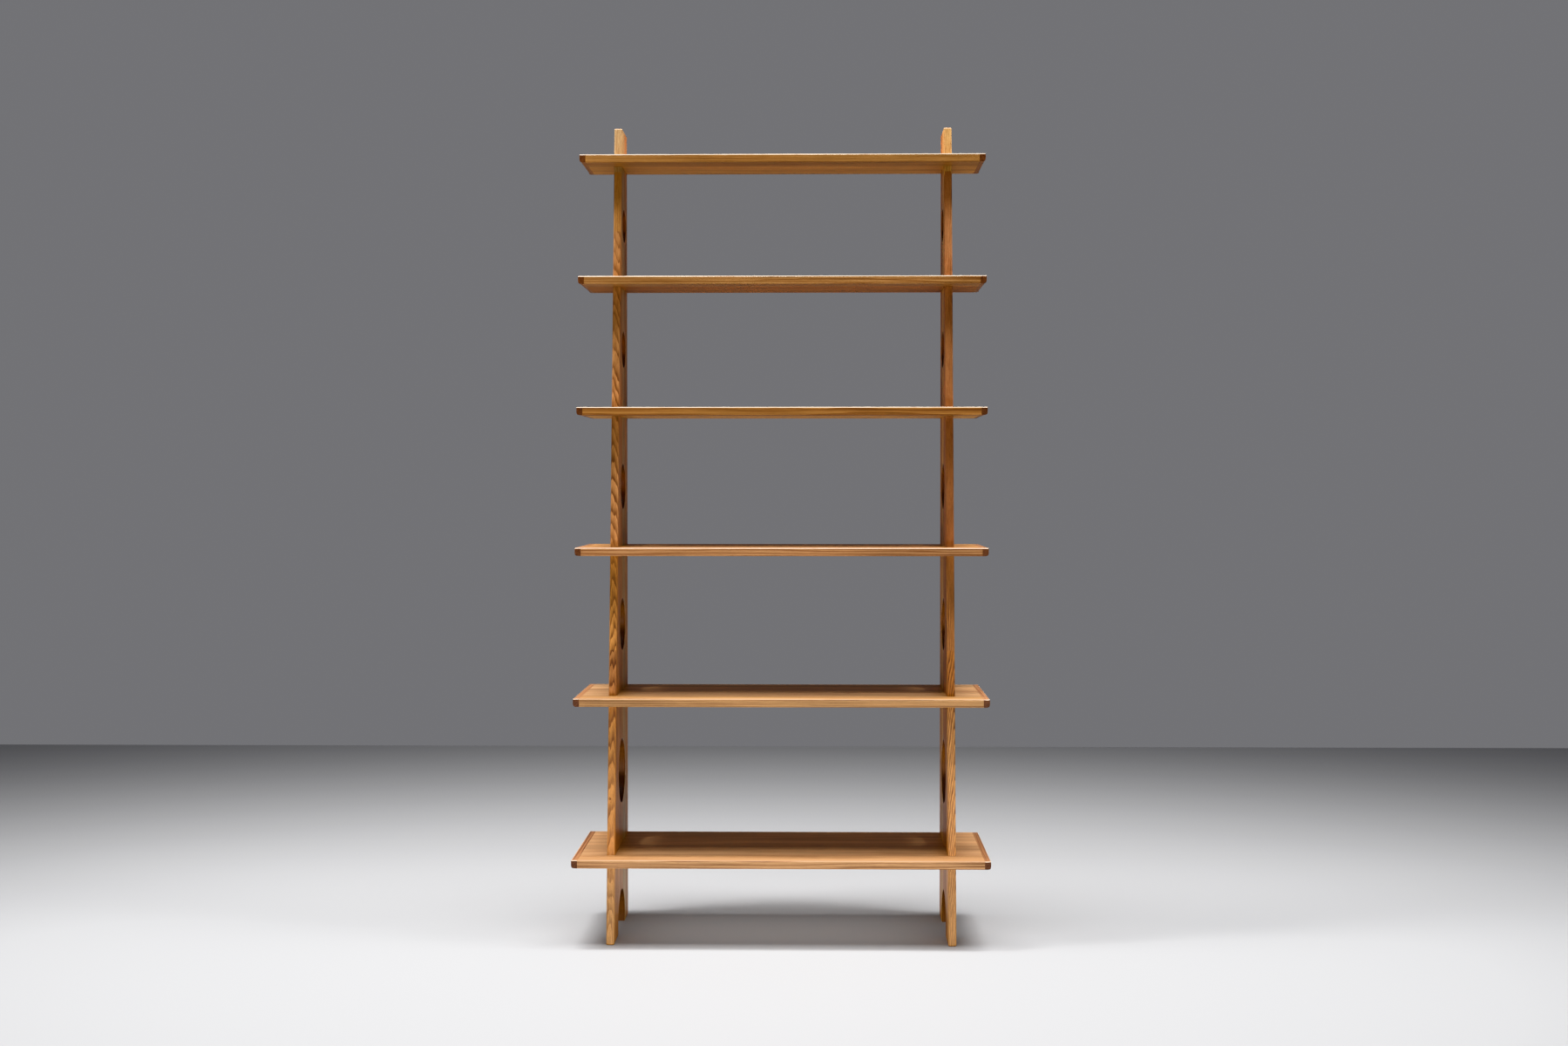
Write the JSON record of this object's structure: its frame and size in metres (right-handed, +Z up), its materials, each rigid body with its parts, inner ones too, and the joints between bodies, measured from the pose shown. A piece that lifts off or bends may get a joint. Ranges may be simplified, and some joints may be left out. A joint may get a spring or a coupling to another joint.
{
  "type": "bookcase",
  "caption": "Open wooden bookcase: shelves that get shallower upwards, cross-lapped into two tapering uprights pierced by round holes and a foot arch.",
  "frame": {"origin": "floor level, under the middle of the whole piece's box", "axes": "+X to the right along the shelves, seen from the front, +Y to the rear, +Z up; the front faces -Y"},
  "size_m": [1.025, 0.41, 2.047],
  "materials": {
    "upright_wood": "oiled, satin",
    "board_wood": "oiled, satin",
    "strip_wood": "oiled, satin",
    "batten_wood": "oiled, satin"
  },
  "bodies": {
    "root": {"left_upright": "upright_wood", "right_upright": "upright_wood", "shelf_1_board": "board_wood", "shelf_1_front_strip": "strip_wood", "shelf_1_left_batten": "batten_wood", "shelf_1_right_batten": "batten_wood", "shelf_2_board": "board_wood", "shelf_2_front_strip": "strip_wood", "shelf_2_left_batten": "batten_wood", "shelf_2_right_batten": "batten_wood", "shelf_3_board": "board_wood", "shelf_3_front_strip": "strip_wood", "shelf_3_left_batten": "batten_wood", "shelf_3_right_batten": "batten_wood", "shelf_4_board": "board_wood", "shelf_4_front_strip": "strip_wood", "shelf_4_left_batten": "batten_wood", "shelf_4_right_batten": "batten_wood", "shelf_5_board": "board_wood", "shelf_5_front_strip": "strip_wood", "shelf_5_left_batten": "batten_wood", "shelf_5_right_batten": "batten_wood", "shelf_6_board": "board_wood", "shelf_6_front_strip": "strip_wood", "shelf_6_left_batten": "batten_wood", "shelf_6_right_batten": "batten_wood"}
  },
  "joints": []
}
